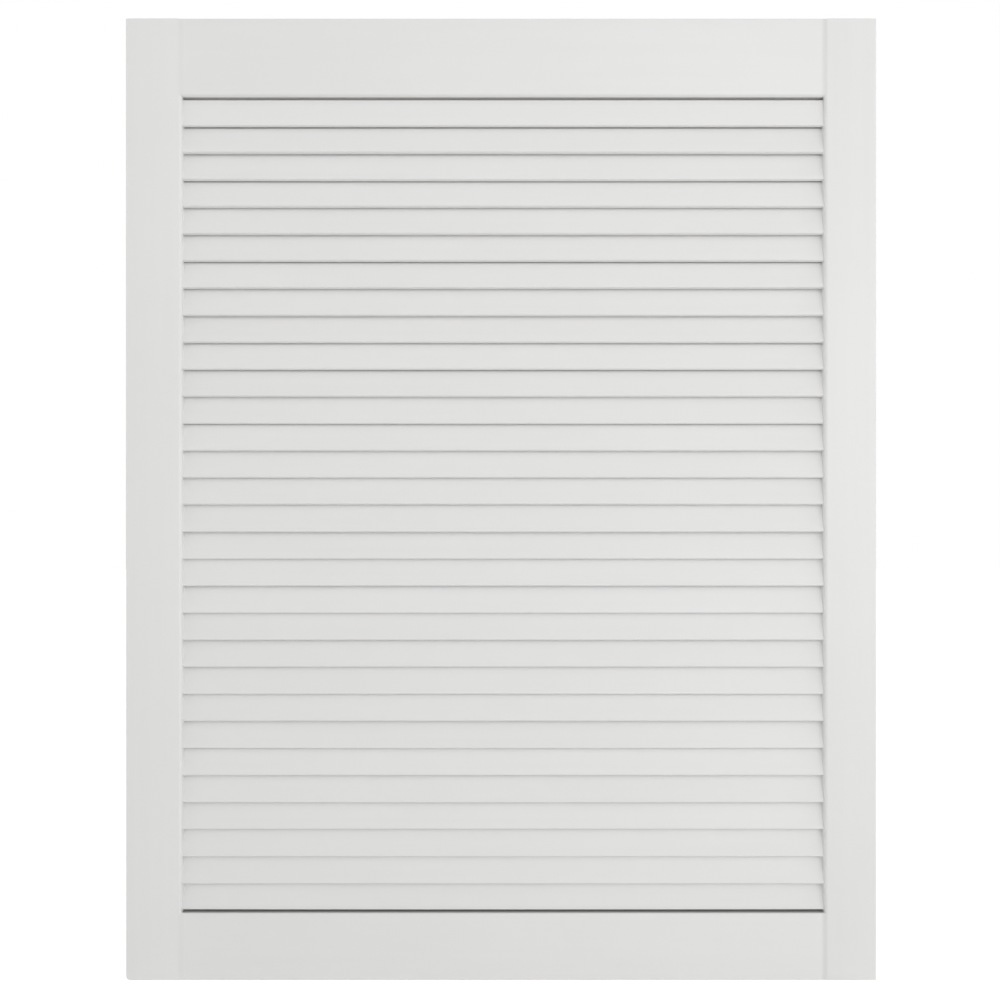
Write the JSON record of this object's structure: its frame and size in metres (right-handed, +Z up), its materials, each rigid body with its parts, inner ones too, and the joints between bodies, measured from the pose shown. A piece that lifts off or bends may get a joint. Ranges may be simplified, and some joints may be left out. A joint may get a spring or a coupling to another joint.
{
  "type": "louvred door",
  "caption": "White painted wooden cupboard door leaf with full-height stiles, top and bottom rails and a bank of fixed sloping slats that let air through and hide what is behind.",
  "frame": {"origin": "centre of the hinge edge, the outer edge of the left stile", "axes": "+X across the leaf from the hinge edge to the closing edge, +Y from front to back, +Z up"},
  "size_m": [0.48, 0.021, 0.615],
  "materials": {
    "frame_paint": "satin white paint on planed softwood",
    "slat_paint": "satin white paint on thin planed softwood"
  },
  "bodies": {
    "root": {"left_stile": "frame_paint", "right_stile": "frame_paint", "top_rail": "frame_paint", "bottom_rail": "frame_paint", "slat_01": "slat_paint", "slat_02": "slat_paint", "slat_03": "slat_paint", "slat_04": "slat_paint", "slat_05": "slat_paint", "slat_06": "slat_paint", "slat_07": "slat_paint", "slat_08": "slat_paint", "slat_09": "slat_paint", "slat_10": "slat_paint", "slat_11": "slat_paint", "slat_12": "slat_paint", "slat_13": "slat_paint", "slat_14": "slat_paint", "slat_15": "slat_paint", "slat_16": "slat_paint", "slat_17": "slat_paint", "slat_18": "slat_paint", "slat_19": "slat_paint", "slat_20": "slat_paint", "slat_21": "slat_paint", "slat_22": "slat_paint", "slat_23": "slat_paint", "slat_24": "slat_paint", "slat_25": "slat_paint", "slat_26": "slat_paint", "slat_27": "slat_paint", "slat_28": "slat_paint", "slat_29": "slat_paint", "slat_30": "slat_paint"}
  },
  "joints": []
}
